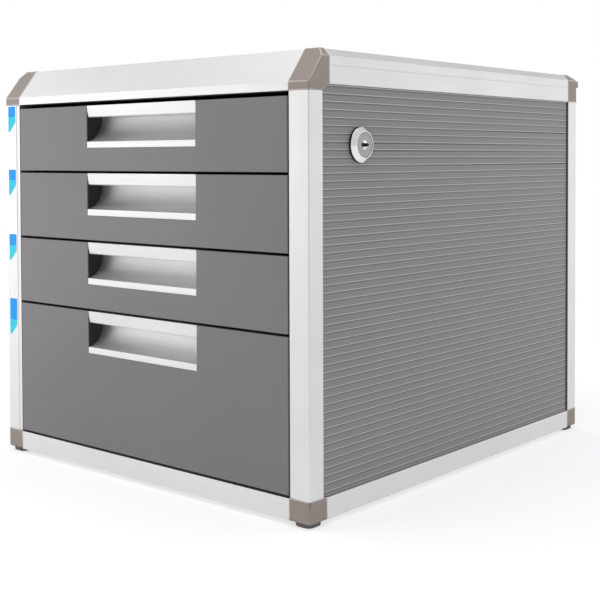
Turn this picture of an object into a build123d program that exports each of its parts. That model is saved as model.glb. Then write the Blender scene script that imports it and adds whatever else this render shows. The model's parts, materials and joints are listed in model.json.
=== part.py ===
from build123d import *
import math
import os

os.makedirs("parts", exist_ok=True)

# A desktop file drawer: an aluminium frame with plastic corner caps, ribbed sheet sides,
# four drawers and a cam lock whose bar blocks them all.
# It stands on z = 0, centred on x = 0, and its drawers open towards -y.
# "Across" is measured inwards from a side of the frame, "along" inwards from its front or rear.

# Whole frame
frame_width = 302.0
frame_depth = 341.0
rear_lip = 3.5
front_y = -(frame_depth + rear_lip) / 2
rear_y = front_y + frame_depth
sides = {"left": -1, "right": 1}
ends = ("front", "rear")

# Extruded posts and rails
post_width = 16.0
post_depth = 13.2
frame_wall = 1.5
post_corner_radius = 0.8
strip_width = 3.7
strip_step = 0.4
bottom_rail_height = 13.5

# Sheets and the slots that hold them
panel_thickness = 2.0
panel_recess = 1.0
slot_depth = 4.0
slot_fit = 0.2
notch_gap = 0.3
base_rise = 3.0
rib_pitch = 4.86
rib_depth = 0.55
rib_half_width = 0.55
rib_margin = 5.2
hollow_start = panel_recess + panel_thickness + slot_fit + frame_wall

# Drawer fronts, from the top drawer down, and the levels that they give
top_front_height = 46.4
low_front_height = 47.6
tall_front_height = 96.8
front_heights = [top_front_height, low_front_height, low_front_height, tall_front_height]
drawer_gap = 1.6
drawer_top_gap = 3.0
foot_height = 3.0
opening_bottom = foot_height + bottom_rail_height
drawer_spans = []
level = opening_bottom + drawer_gap
for height in reversed(front_heights):
    drawer_spans.insert(0, (level, level + height))
    level += height + drawer_gap
opening_top = level - drawer_gap + drawer_top_gap

# Top rails
top_rail_height = 25.9
top_level = opening_top + top_rail_height
side_rail_rise = 4.2
side_rail_bottom = opening_top + side_rail_rise
slant_rise = 5.4
slant_setback = 15.9
front_crest = 2.5
front_ledge = 24.0
side_chamfer_drop = 4.3
side_chamfer_in = 4.0
side_crest = 7.0
side_groove_rise = 11.5
side_groove_size = 0.3
rear_flush_rise = 11.9
rear_lip_height = 4.3
rear_chamfer_in = 7.0
rear_crest = 9.5
rear_ledge = 16.0
top_panel_drop = 1.0
ledge_level = top_level - top_panel_drop - panel_thickness
side_chamfer_start = top_level - side_chamfer_drop
groove_level = side_rail_bottom + side_groove_rise

# Corner caps
cap_proud = 0.2
bottom_cap_width = 16.4
bottom_cap_height = 14.0
bottom_cap_depth = {"front": 16.5, "rear": 14.0}
top_cap_width = 16.2
top_cap_depth = {"front": 20.0, "rear": 14.0}
top_cap_crown = 0.5
top_cap_chamfer_in = 4.4
front_cap_heel = 7.5
front_cap_heel_rise = 4.5
cap_edge_radius = 1.4
cap_sole_radius = 1.2
top_cap_edge_radius = 0.5
spigot_length = 12.0
spigot_fit = 0.15
bottom_cap_top = foot_height + bottom_cap_height
top_cap_bottom = {"front": opening_top, "rear": side_rail_bottom}
crown_level = top_level + top_cap_crown

# Feet
foot_size = 13.5
foot_inset = 1.5
foot_corner_radius = 4.5
foot_pin_radius = 3.0
foot_pin_length = 5.0
foot_edge = 0.6
foot_centre = foot_inset + foot_size / 2

# Drawer fronts and handles
side_gap = 1.0
front_depth = 15.0
front_wall = 2.5
front_edge_radius = 0.6
front_rebate = 3.0
handle_length = 110.0
handle_fit = 0.15
handle_height = 30.0
handle_wall = 1.6
handle_strip_height = 4.2
handle_lip_height = 8.4
handle_lip_lean = 0.6
scoop_radius = 16.0
scoop_lead = 2.7

# Lock bar, glides and drawer boxes, each standing inwards of the one before
bar_gap = 1.5
bar_thickness = 2.0
glide_gap = 1.0
glide_width = 11.0
glide_leg = 1.5
glide_clearance = 0.5
bar_outer = post_width + bar_gap
bar_inner = bar_outer + bar_thickness
glide_outer = bar_inner + glide_gap
box_across = glide_outer + glide_width
box_half_width = frame_width / 2 - box_across

box_wall = 2.0
box_length = 312.0
box_lift = 2.0
box_corner_radius = 4.0
glide_drop = 5.5
glide_thickness = 2.5
glide_leg_drop = 14.0
glide_rear_margin = 2.0
glide_play = 0.4
travel = 225.0
stop_margin = 0.5
stop_width = 6.0
stop_height = 3.1

# Runner channels
runner_wall = 2.0
runner_skirt = 10.8
runner_front_gap = 1.0
runner_stop_length = 3.0
runner_stop_drop = 4.6
runner_stop_width = 8.0

# Screws that hold a front to its box
screw_half_spacing = 95.0
screw_row_low = 12.0
screw_row_high = 16.0
screw_radius = 1.5
screw_length = 9.0
screw_head_radius = 3.0
screw_head_height = 1.5
screw_fit = 0.1
boss_radius = 4.0

# Cam lock in the right side
lock_setback = 51.4
lock_drop = 29.6
rim_radius = 11.35
rim_height = 1.6
face_radius = 8.5
face_height = 2.5
barrel_radius = 9.0
barrel_reach = 12.0
barrel_fit = 0.15
plug_face_radius = 7.9
plug_face_depth = 3.0
plug_recess = 0.3
plug_stem_radius = 6.4
plug_fit = 0.15
plug_float = 0.1
plug_overhang = 0.5
keyway_length = 6.6
keyway_width = 2.0
keyway_depth = 6.0
tail_size = 5.0
tail_fit = 0.05
tail_overhang = 0.3
nut_flat_radius = 11.0
nut_height = 3.0
crank_thickness = 2.0
crank_hub_radius = 5.8
crank_eye_radius = 3.6
crank_radius = 6.0
crank_swing = 90.0
pin_radius = 2.0
pin_overhang = 0.4
lock_y = front_y + lock_setback
lock_z = drawer_spans[0][1] - lock_drop

# Lock bar, its teeth and straps, and the strikes on the drawer boxes
bar_lead = 1.0
bar_width = 12.0
bar_top_margin = 5.0
bar_foot = 3.0
slot_play = 0.3
slot_end_play = 0.4
tooth_reach = 10.0
tooth_thickness = 2.5
tooth_height = 10.0
tooth_drop = 42.6
strike_drop = 31.6
strike_height = 8.0
strike_thickness = 4.0
strike_gap = 0.7
strike_width = 10.4
strap_drawers = (1, 3)
strap_drop = 20.6
strap_height = 6.0
strap_wall = 1.5
strap_play = 0.4
strap_face_gap = 0.5
runner_notch_gap = 0.5
bar_front_y = lock_y - bar_lead
bar_rear_y = bar_front_y + bar_width


def side_x(side, across):
    """The x of a place measured inwards from one side of the frame."""
    return sides[side] * (frame_width / 2 - across)


def end_y(end, along):
    """The y of a place measured inwards from the front or rear of the frame."""
    return front_y + along if end == "front" else rear_y - along


def add_block(xs, ys, zs, mode=Mode.ADD):
    """A box between two places on each axis, given in either order."""
    spans = [sorted(pair) for pair in (xs, ys, zs)]
    low = tuple(span[0] for span in spans)
    size = [span[1] - span[0] for span in spans]
    with Locations(low):
        Box(*size, align=(Align.MIN, Align.MIN, Align.MIN), mode=mode)


def corner_block(side, end, across, along, zs, mode=Mode.ADD):
    """A box placed from one vertical corner of the frame."""
    xs = [side_x(side, place) for place in across]
    ys = [end_y(end, place) for place in along]
    add_block(xs, ys, zs, mode)


def run_plane(run, start):
    """The upright plane that the section of a rail is drawn on."""
    if run in sides:
        return Plane(origin=(0, start, 0), x_dir=(1, 0, 0), z_dir=(0, -1, 0))
    return Plane(origin=(start, 0, 0), x_dir=(0, 1, 0), z_dir=(1, 0, 0))


def run_prism(run, outlines, span, mode=Mode.ADD):
    """Outlines in (inwards, z) on one side of the frame, carried along that side."""
    start, finish = sorted(span)
    with BuildSketch(run_plane(run, start)) as section:
        for outline in outlines:
            if run in sides:
                corners = [(side_x(run, inwards), z) for inwards, z in outline]
            else:
                corners = [(end_y(run, inwards), z) for inwards, z in outline]
            with BuildLine():
                Polyline(*corners, close=True)
            make_face()
    reach = start - finish if run in sides else finish - start
    extrude(section.sketch, amount=reach, mode=mode)


def rectangle(inwards, zs):
    """The four corners of an upright rectangle in (inwards, z)."""
    return [(inwards[0], zs[0]), (inwards[1], zs[0]), (inwards[1], zs[1]), (inwards[0], zs[1])]


def lock_plane(across):
    """The plane square to the lock's axis at a depth inside the right side."""
    return Plane(origin=(side_x("right", across), lock_y, lock_z), x_dir=(0, 1, 0), z_dir=(1, 0, 0))


def lock_disc(across, radius, height, mode=Mode.ADD):
    """A round on the lock's axis that grows outwards from a depth inside the right side."""
    with BuildSketch(lock_plane(across)) as disc:
        Circle(radius)
    extrude(disc.sketch, amount=height, mode=mode)


def save(piece, name):
    """Names a finished piece and writes it."""
    piece.part.label = name
    export_step(piece.part, f"parts/{name}.step")


# Corner posts: hollow extrusions with a slot for the side sheet, and for the back sheet at the rear
def make_post(side, end):
    span = (bottom_cap_top, top_cap_bottom[end])
    with BuildPart() as post:
        with BuildSketch(Plane.XY.offset(span[0])):
            corners = [(side_x(side, across), end_y(end, along))
                       for across, along in rectangle((0, post_width), (0, post_depth))]
            with BuildLine():
                Polyline(*corners, close=True)
            make_face()
            outer_corner = vertices().sort_by_distance(corners[0])[0]
            fillet(outer_corner, post_corner_radius)
        extrude(amount=span[1] - span[0])
        hollow_across = (hollow_start, post_width - frame_wall)
        hollow_along = (hollow_start, post_depth - frame_wall)
        corner_block(side, end, hollow_across, hollow_along, span, Mode.SUBTRACT)
        slot = (panel_recess - slot_fit, panel_recess + panel_thickness + slot_fit)
        corner_block(side, end, slot, (post_depth - slot_depth, post_depth), span, Mode.SUBTRACT)
        if end == "rear":
            corner_block(side, end, (post_width - slot_depth, post_width), slot, span, Mode.SUBTRACT)
        else:
            strip = (post_width - strip_width, post_width)
            corner_block(side, end, strip, (0, strip_step), span, Mode.SUBTRACT)
    return post


# Spans of the rails between their caps
def between_caps(run, cap_width, cap_depth):
    if run in sides:
        return (end_y("front", cap_depth["front"]), end_y("rear", cap_depth["rear"]))
    return (side_x("left", cap_width), side_x("right", cap_width))


bottom_hollow = (foot_height + base_rise + panel_thickness + slot_fit + frame_wall,
                 opening_bottom - frame_wall)
top_hollow = (side_rail_bottom + frame_wall, ledge_level - frame_wall)
rear_hollow = (side_rail_bottom + frame_wall, ledge_level - 2 * frame_wall)
panel_slot = (panel_recess - slot_fit, panel_recess + panel_thickness + slot_fit)


def front_hollow(clearance):
    """The inside of the slanted front rail, drawn in by a clearance."""
    slope = (top_level - opening_top - slant_rise) / slant_setback
    inner = frame_wall + clearance
    outer = post_depth - frame_wall - clearance
    start = opening_top + slant_rise - inner * math.hypot(1, slope)
    low = opening_top + inner
    return [(inner, low), (outer, low), (outer, start + slope * outer), (inner, start + slope * inner)]


# Bottom rails: hollow, with a slot in the top for the upright sheet and one inside for the base sheet
def make_bottom_rail(run):
    span = between_caps(run, bottom_cap_width, bottom_cap_depth)
    base_slot = (foot_height + base_rise - slot_fit, foot_height + base_rise + panel_thickness + slot_fit)
    with BuildPart() as rail:
        run_prism(run, [rectangle((0, post_depth), (foot_height, opening_bottom))], span)
        voids = [rectangle((hollow_start, post_depth - frame_wall), bottom_hollow),
                 rectangle((post_depth - slot_depth, post_depth), base_slot)]
        if run != "front":
            voids.append(rectangle(panel_slot, (opening_bottom - slot_depth, opening_bottom)))
        run_prism(run, voids, span, Mode.SUBTRACT)
    return rail


# Side top rail: chamfered outside, with a thin groove line and a ledge for the top sheet
def make_side_top_rail(side):
    span = between_caps(side, top_cap_width, top_cap_depth)
    outline = [(0, side_rail_bottom), (0, side_chamfer_start), (side_chamfer_in, top_level),
               (side_crest, top_level), (side_crest, ledge_level),
               (post_width, ledge_level), (post_width, side_rail_bottom)]
    groove = [(0, groove_level - side_groove_size), (side_groove_size, groove_level),
              (0, groove_level + side_groove_size)]
    with BuildPart() as rail:
        run_prism(side, [outline], span)
        voids = [rectangle((hollow_start, post_width - frame_wall), top_hollow),
                 rectangle(panel_slot, (side_rail_bottom, side_rail_bottom + slot_depth)), groove]
        run_prism(side, voids, span, Mode.SUBTRACT)
    return rail


# Front top rail: slants back to the top, with a ledge for the top sheet behind
def make_front_top_rail():
    span = between_caps("front", top_cap_width, top_cap_depth)
    crest = slant_setback + front_crest
    outline = [(0, opening_top), (0, opening_top + slant_rise), (slant_setback, top_level),
               (crest, top_level), (crest, ledge_level), (front_ledge, ledge_level),
               (front_ledge, ledge_level - frame_wall), (post_depth, ledge_level - frame_wall),
               (post_depth, opening_top)]
    with BuildPart() as rail:
        run_prism("front", [outline], span)
        run_prism("front", [front_hollow(0)], span, Mode.SUBTRACT)
    return rail


def rear_outline(reach, crest):
    """The rear rail's section, from its underside over the lip and the chamfer up to its crest."""
    lip_bottom = side_rail_bottom + rear_flush_rise
    lip_top = lip_bottom + rear_lip_height
    return [(reach, side_rail_bottom), (0, side_rail_bottom), (0, lip_bottom), (-rear_lip, lip_bottom),
            (-rear_lip, lip_top), (rear_chamfer_in, crest)]


# Rear top rail: with a lip that stands out at the back
def make_rear_top_rail():
    span = between_caps("rear", top_cap_width, top_cap_depth)
    outline = rear_outline(post_depth, top_level)
    outline += [(rear_crest, top_level), (rear_crest, ledge_level), (rear_ledge, ledge_level),
                (rear_ledge, ledge_level - frame_wall), (post_depth, ledge_level - frame_wall)]
    with BuildPart() as rail:
        run_prism("rear", [outline], span)
        voids = [rectangle((hollow_start, post_depth - frame_wall), rear_hollow),
                 rectangle(panel_slot, (side_rail_bottom, side_rail_bottom + slot_depth))]
        run_prism("rear", voids, span, Mode.SUBTRACT)
    return rail


def drawn_in(pair, clearance):
    """A span made shorter at both ends by a clearance."""
    return (pair[0] + clearance, pair[1] - clearance)


# Bottom corner caps: each has spigots that plug into the post and both rails
def make_bottom_cap(side, end):
    depth = bottom_cap_depth[end]
    zs = (foot_height, bottom_cap_top)
    corner = (side_x(side, -cap_proud), end_y(end, -cap_proud))
    with BuildPart() as cap:
        corner_block(side, end, (-cap_proud, bottom_cap_width), (-cap_proud, depth), zs)
        upright = cap.edges().filter_by(Axis.Z).sort_by_distance((*corner, bottom_cap_top))[0]
        fillet(upright, cap_edge_radius)
        sole = cap.faces().sort_by(Axis.Z)[0]
        fillet(sole.edges().sort_by_distance((*corner, foot_height))[:3], cap_sole_radius)
        tube = drawn_in((hollow_start, post_depth - frame_wall), spigot_fit)
        post_tube = drawn_in((hollow_start, post_width - frame_wall), spigot_fit)
        heights = drawn_in(bottom_hollow, spigot_fit)
        corner_block(side, end, post_tube, tube, (bottom_cap_top, bottom_cap_top + spigot_length))
        corner_block(side, end, tube, (depth, depth + spigot_length), heights)
        corner_block(side, end, (bottom_cap_width, bottom_cap_width + spigot_length), tube, heights)
        with Locations((side_x(side, foot_centre), end_y(end, foot_centre), foot_height)):
            Cylinder(foot_pin_radius + spigot_fit, foot_pin_length + notch_gap,
                     align=(Align.CENTER, Align.CENTER, Align.MIN), mode=Mode.SUBTRACT)
    return cap


# Top corner caps: they carry on the sections of the rails that meet in them
def make_top_cap(side, end):
    depth = top_cap_depth[end]
    low = top_cap_bottom[end]
    xs = (side_x(side, -cap_proud), side_x(side, top_cap_width))
    if end == "front":
        outline = [(-cap_proud, low), (-cap_proud, opening_top + slant_rise), (slant_setback, crown_level),
                   (depth, crown_level), (depth, low + front_cap_heel_rise), (depth - front_cap_heel, low)]
        outer_z = opening_top + slant_rise
        rail_tube = [front_hollow(spigot_fit)]
    else:
        outline = rear_outline(depth, crown_level) + [(depth, crown_level)]
        outer_z = side_rail_bottom
        rail_tube = [rectangle(drawn_in((hollow_start, post_depth - frame_wall), spigot_fit),
                               drawn_in(rear_hollow, spigot_fit))]
    above = crown_level + top_rail_height
    shoulder = [(-cap_proud, side_chamfer_start), (top_cap_chamfer_in, crown_level), (top_cap_chamfer_in, above),
                (-top_rail_height, above), (-top_rail_height, side_chamfer_start)]
    with BuildPart() as cap:
        run_prism(end, [outline], xs)
        run_prism(side, [shoulder], (end_y(end, -top_rail_height), end_y(end, depth)), Mode.SUBTRACT)
        corner = (side_x(side, -cap_proud), end_y(end, -cap_proud if end == "front" else 0), outer_z)
        upright = cap.edges().filter_by(Axis.Z).sort_by_distance(corner)[0]
        fillet(upright, top_cap_edge_radius)
        post_across = drawn_in((hollow_start, post_width - frame_wall), spigot_fit)
        post_along = drawn_in((hollow_start, post_depth - frame_wall), spigot_fit)
        corner_block(side, end, post_across, post_along, (low - spigot_length, low))
        corner_block(side, end, post_across, (depth, depth + spigot_length), drawn_in(top_hollow, spigot_fit))
        rail_span = (side_x(side, top_cap_width), side_x(side, top_cap_width + spigot_length))
        run_prism(end, rail_tube, rail_span)
    return cap


for end in ends:
    for side in sides:
        post = make_post(side, end)
        save(post, f"post_{end}_{side}")
        bottom_cap = make_bottom_cap(side, end)
        save(bottom_cap, f"bottom_cap_{end}_{side}")
        top_cap = make_top_cap(side, end)
        save(top_cap, f"top_cap_{end}_{side}")

for run in (*ends, *sides):
    bottom_rail = make_bottom_rail(run)
    save(bottom_rail, f"bottom_rail_{run}")

for side in sides:
    side_top_rail = make_side_top_rail(side)
    save(side_top_rail, f"top_rail_{side}")

front_top_rail = make_front_top_rail()
save(front_top_rail, "top_rail_front")

rear_top_rail = make_rear_top_rail()
save(rear_top_rail, "top_rail_rear")


def rib_places(low, high):
    """Places of the grooves between two edges, a pitch apart and counted from the higher edge."""
    count = int((high - low - 2 * rib_margin) / rib_pitch) + 1
    return [high - rib_margin - index * rib_pitch for index in range(count)]


def grooved_outline(face, back, low, high):
    """A sheet's section as (depth, place) pairs, with a groove in its face at each rib place."""
    depth = face + math.copysign(rib_depth, back - face)
    outline = [(back, low), (back, high), (face, high)]
    for place in rib_places(low, high):
        outline += [(face, place + rib_half_width), (depth, place), (face, place - rib_half_width)]
    return outline + [(face, low)]


def clear_bottom_caps():
    """Cuts a sheet back around the bottom caps."""
    for end in ends:
        for side in sides:
            across = (-cap_proud, bottom_cap_width + notch_gap)
            along = (-cap_proud, bottom_cap_depth[end] + notch_gap)
            corner_block(side, end, across, along, (0, bottom_cap_top + notch_gap), Mode.SUBTRACT)


def clear_top_caps():
    """Cuts a sheet back around the top caps, and along the slanted heel of the front ones."""
    for end in ends:
        reach = top_cap_depth[end] + notch_gap
        low = top_cap_bottom[end] - notch_gap
        heel = [(reach, low)]
        if end == "front":
            heel = [(reach - front_cap_heel, low), (reach, low + front_cap_heel_rise)]
        outline = [(-rear_lip, low), *heel, (reach, top_level), (-rear_lip, top_level)]
        for side in sides:
            xs = (side_x(side, -cap_proud), side_x(side, top_cap_width + notch_gap))
            run_prism(end, [outline], xs, Mode.SUBTRACT)


# Side sheets: grooved outside, held in slots all round; the right one has the hole for the lock
def make_side_panel(side):
    inset = post_depth - slot_depth + slot_fit
    outline = grooved_outline(panel_recess, panel_recess + panel_thickness,
                              opening_bottom - slot_depth, side_rail_bottom + slot_depth - slot_fit)
    with BuildPart() as panel:
        run_prism(side, [outline], (end_y("front", inset), end_y("rear", inset)))
        clear_bottom_caps()
        clear_top_caps()
        if side == "right":
            lock_disc(post_width, barrel_radius + barrel_fit, post_width, Mode.SUBTRACT)
    return panel


for side in sides:
    side_panel = make_side_panel(side)
    save(side_panel, f"side_panel_{side}")

# Top sheet: lies on the ledges of the top rails, with grooves like the side sheets
with BuildPart() as top_panel:
    top_inset = side_crest + slot_fit
    top_front = end_y("front", slant_setback + front_crest + slot_fit)
    top_rear = end_y("rear", rear_crest + slot_fit)
    section = grooved_outline(ledge_level + panel_thickness, ledge_level,
                              side_x("left", top_inset), side_x("right", top_inset))
    with BuildSketch(run_plane("left", top_front)):
        with BuildLine():
            Polyline(*[(x, z) for z, x in section], close=True)
        make_face()
    extrude(amount=top_front - top_rear)
    clear_top_caps()
save(top_panel, "top_panel")

# Base sheet: held in the inner slots of the bottom rails
with BuildPart() as base_panel:
    base_inset = post_depth - slot_depth + slot_fit
    base_level = foot_height + base_rise
    add_block((side_x("left", base_inset), side_x("right", base_inset)),
              (end_y("front", base_inset), end_y("rear", base_inset)),
              (base_level - slot_fit, base_level - slot_fit + panel_thickness))
    clear_bottom_caps()
save(base_panel, "base_panel")

# Back sheet: plain, in the slots of the rear posts and rails
with BuildPart() as back_panel:
    back_inset = post_width - slot_depth + slot_fit
    add_block((side_x("left", back_inset), side_x("right", back_inset)),
              (end_y("rear", panel_recess), end_y("rear", panel_recess + panel_thickness)),
              (opening_bottom - slot_depth, side_rail_bottom + slot_depth - slot_fit))
    clear_bottom_caps()
    clear_top_caps()
save(back_panel, "back_panel")

# Rubber feet: a rounded pad with a pin pushed up into each bottom cap
with BuildPart() as rubber_feet:
    foot_places = [(side_x(side, foot_centre), end_y(end, foot_centre)) for end in ends for side in sides]
    with BuildSketch():
        with Locations(*foot_places):
            RectangleRounded(foot_size, foot_size, foot_corner_radius)
    extrude(amount=foot_height)
    chamfer(rubber_feet.edges().group_by(Axis.Z)[0], foot_edge)
    with BuildSketch(Plane.XY.offset(foot_height)):
        with Locations(*foot_places):
            Circle(foot_pin_radius)
    extrude(amount=foot_pin_length)
save(rubber_feet, "rubber_feet")


# Levels of a drawer's glide and of the runner channel around it, from the top of its front
def glide_levels(top):
    glide_top = top - glide_drop
    return (glide_top - glide_thickness, glide_top)


def channel_levels(top):
    low, high = glide_levels(top)
    return (low - glide_play, high + glide_play)


box_front_y = end_y("front", front_depth)
box_rear_y = box_front_y + box_length
runner_front_y = box_front_y + runner_front_gap
runner_stop_y = runner_front_y + runner_stop_length
glide_stop_y = runner_stop_y + travel + stop_margin
flange_across = box_across - glide_leg - glide_clearance


# Runners of one side: a channel for each drawer, from the front post to the rear post
def make_runners(side):
    with BuildPart() as runners:
        for bottom, top in drawer_spans:
            low, high = channel_levels(top)
            web_across = (post_width - runner_wall, post_width)
            web_ys = (end_y("front", post_depth), end_y("rear", post_depth))
            web_xs = [side_x(side, across) for across in web_across]
            flange_xs = [side_x(side, across) for across in (post_width - runner_wall, flange_across)]
            flange_ys = (runner_front_y, web_ys[1])
            add_block(web_xs, web_ys, (low - runner_skirt - runner_wall, high + runner_wall))
            add_block(flange_xs, flange_ys, (low - runner_wall, low))
            add_block(flange_xs, flange_ys, (high, high + runner_wall))
            stop_across = (glide_outer, glide_outer + runner_stop_width)
            stop_xs = [side_x(side, across) for across in stop_across]
            add_block(stop_xs, (runner_front_y, runner_stop_y),
                      (low - runner_wall - runner_stop_drop, low - runner_wall))
            if side == "right":
                notch_xs = [side_x(side, across) for across in (post_width, bar_inner + runner_notch_gap)]
                notch_ys = (bar_front_y - runner_notch_gap, bar_rear_y + runner_notch_gap)
                add_block(notch_xs, notch_ys, (low - runner_wall, high + runner_wall), Mode.SUBTRACT)
    return runners


for side in sides:
    runners = make_runners(side)
    save(runners, f"runners_{side}")


def screw_places(bottom, top):
    """The x and z of the four screws of one drawer."""
    return [(x, z) for x in (-screw_half_spacing, screw_half_spacing)
            for z in (bottom + screw_row_low, top - screw_row_high)]


def front_rods(places, start, radius, length, mode=Mode.ADD):
    """Round rods at the screw places that run backwards from a distance behind the front."""
    with BuildSketch(Plane(origin=(0, end_y("front", start), 0), x_dir=(1, 0, 0), z_dir=(0, -1, 0))) as rods:
        with Locations(*places):
            Circle(radius)
    extrude(rods.sketch, amount=-length, mode=mode)


# Drawer front: a moulded shell, open at the back and narrower behind its face, with a notch for the handle
def make_drawer_front(bottom, top):
    half_width = frame_width / 2 - post_width - side_gap
    notch_half = handle_length / 2 + handle_fit
    notch_floor = top - handle_height
    ys = (front_y, box_front_y)
    inner_ys = (front_y + front_wall, box_front_y)
    with BuildPart() as front:
        add_block((-half_width, half_width), ys, (bottom, top))
        fillet(front.faces().sort_by(Axis.Y)[0].edges(), front_edge_radius)
        for direction in sides.values():
            body_edge = half_width - front_rebate
            add_block((direction * body_edge, direction * half_width), inner_ys, (bottom, top), Mode.SUBTRACT)
            wing = (direction * (notch_half + front_wall), direction * (body_edge - front_wall))
            add_block(wing, inner_ys, (bottom + front_wall, top - front_wall), Mode.SUBTRACT)
        add_block((-notch_half, notch_half), inner_ys, (bottom + front_wall, notch_floor - front_wall),
                  Mode.SUBTRACT)
        add_block((-notch_half, notch_half), ys, (notch_floor, top), Mode.SUBTRACT)
        places = screw_places(bottom, top)
        front_rods(places, front_wall, boss_radius, front_depth - front_wall)
        pilot_depth = screw_length - box_wall + screw_fit
        front_rods(places, front_depth - pilot_depth, screw_radius + screw_fit, pilot_depth, Mode.SUBTRACT)
    return front


# Handle: one extrusion with a lip above, a strip below and a round scoop between them
def make_handle(top):
    base = top - handle_height
    scoop_z = base + handle_strip_height + scoop_radius
    scoop_depth = scoop_radius - scoop_lead
    outer_radius = scoop_radius + handle_wall
    lip_bottom = top - handle_lip_height

    def scoop_point(radius, angle):
        return (front_y - scoop_lead + radius * math.cos(angle), scoop_z - radius * math.sin(angle))

    inner_angle = math.acos(scoop_lead / scoop_radius)
    outer_angle = math.acos((scoop_lead + handle_wall) / outer_radius)
    back_y = front_y + scoop_depth + handle_wall
    inner_points = [scoop_point(scoop_radius, inner_angle * share) for share in (1, 0.5, 0)]
    outer_points = [scoop_point(outer_radius, outer_angle * share) for share in (0, 0.5, 1)]
    with BuildPart() as handle:
        with BuildSketch(run_plane("front", -handle_length / 2)):
            with BuildLine():
                Polyline((front_y, base), inner_points[0])
                ThreePointArc(*inner_points)
                Polyline(inner_points[2], (inner_points[2][0], top - handle_wall),
                         (front_y + handle_wall, top - handle_wall),
                         (front_y + handle_wall, lip_bottom + handle_lip_lean),
                         (front_y + handle_wall - handle_lip_lean, lip_bottom),
                         (front_y + handle_lip_lean, lip_bottom),
                         (front_y, lip_bottom + handle_lip_lean), (front_y, top), (back_y, top),
                         outer_points[0])
                ThreePointArc(*outer_points)
                Polyline(outer_points[2], (front_y + handle_wall, base), (front_y, base))
            make_face()
        extrude(amount=handle_length)
    return handle


# Drawer box: an open tray with round corners, screwed to the back of the front
def make_drawer_box(bottom, top):
    floor = bottom + box_lift
    rim = top - glide_drop
    with BuildPart() as box:
        with BuildSketch(Plane.XY.offset(floor)):
            with Locations((0, (box_front_y + box_rear_y) / 2)):
                RectangleRounded(2 * box_half_width, box_length, box_corner_radius)
        extrude(amount=rim - floor)
        with BuildSketch(Plane.XY.offset(floor + box_wall)):
            with Locations((0, (box_front_y + box_rear_y) / 2)):
                RectangleRounded(2 * (box_half_width - box_wall), box_length - 2 * box_wall,
                                 box_corner_radius - box_wall)
        extrude(amount=rim - floor - box_wall, mode=Mode.SUBTRACT)
        front_rods(screw_places(bottom, top), front_depth, screw_radius + screw_fit, box_wall, Mode.SUBTRACT)
    return box


# Glides: an angle along each side of the box, with a lug near its rear that meets the runner's stop
def make_glides(top):
    low, high = glide_levels(top)
    glide_ys = (box_front_y + box_corner_radius, box_rear_y - box_corner_radius - glide_rear_margin)
    lug_top = channel_levels(top)[0] - runner_wall - glide_clearance
    with BuildPart() as glides:
        for side in sides:
            leg_xs = [side_x(side, across) for across in (box_across - glide_leg, box_across)]
            flange_xs = [side_x(side, across) for across in (glide_outer, box_across)]
            lug_xs = [side_x(side, across) for across in (box_across - glide_leg - stop_width, box_across)]
            add_block(leg_xs, glide_ys, (top - glide_leg_drop, high))
            add_block(flange_xs, glide_ys, (low, high))
            add_block(lug_xs, (glide_stop_y, glide_stop_y + stop_width), (lug_top - stop_height, lug_top))
    return glides


# Strike: the block on the right of the box that a raised tooth of the lock bar stands in front of
def make_strike(top):
    strike_y = bar_rear_y + strike_gap
    strike_z = top - strike_drop
    with BuildPart() as strike:
        xs = [side_x("right", across) for across in (box_across - strike_width, box_across)]
        add_block(xs, (strike_y, strike_y + strike_thickness), (strike_z, strike_z + strike_height))
    return strike


# Screws of one drawer: heads inside the box, shanks in the bosses of the front
def make_drawer_screws(bottom, top):
    places = screw_places(bottom, top)
    head_start = front_depth + box_wall
    with BuildPart() as screws:
        front_rods(places, head_start - screw_length, screw_radius, screw_length)
        front_rods(places, head_start, screw_head_radius, screw_head_height)
    return screws


for number, (bottom, top) in enumerate(drawer_spans, start=1):
    drawer_box = make_drawer_box(bottom, top)
    save(drawer_box, f"drawer_{number}_box")
    drawer_front = make_drawer_front(bottom, top)
    save(drawer_front, f"drawer_{number}_front")
    drawer_handle = make_handle(top)
    save(drawer_handle, f"drawer_{number}_handle")
    drawer_glides = make_glides(top)
    save(drawer_glides, f"drawer_{number}_glides")
    drawer_strike = make_strike(top)
    save(drawer_strike, f"drawer_{number}_strike")
    drawer_screws = make_drawer_screws(bottom, top)
    save(drawer_screws, f"drawer_{number}_screws")

# Depths of the lock's pieces inside the right side
barrel_end = panel_recess + barrel_reach
face_across = panel_recess - rim_height - face_height
plug_face = face_across + plug_recess
plug_shoulder = face_across + plug_face_depth - plug_float
stem_end = barrel_end + plug_overhang
crank_end = stem_end + crank_thickness
pin_angle = math.radians(crank_swing / 2)
pin_y = crank_radius * math.cos(pin_angle)
pin_z = -crank_radius * math.sin(pin_angle)

# Lock housing: a rim that rises in a cone to the face outside, and a barrel through the sheet
with BuildPart() as lock_housing:
    lock_disc(panel_recess, rim_radius, rim_height)
    with Locations(lock_plane(panel_recess - rim_height)):
        Cone(rim_radius, face_radius, face_height, align=(Align.CENTER, Align.CENTER, Align.MIN))
    lock_disc(barrel_end, barrel_radius, barrel_reach)
    lock_disc(barrel_end, plug_stem_radius + plug_fit, barrel_end - face_across, Mode.SUBTRACT)
    lock_disc(face_across + plug_face_depth, plug_face_radius + plug_fit, plug_face_depth, Mode.SUBTRACT)
save(lock_housing, "lock_housing")

# Lock nut: clamps the sheet from inside
with BuildPart() as lock_nut:
    with BuildSketch(lock_plane(panel_recess + panel_thickness + nut_height)):
        RegularPolygon(nut_flat_radius, 6, major_radius=False)
        Circle(barrel_radius + barrel_fit, mode=Mode.SUBTRACT)
    extrude(amount=nut_height)
save(lock_nut, "lock_nut")

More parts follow.
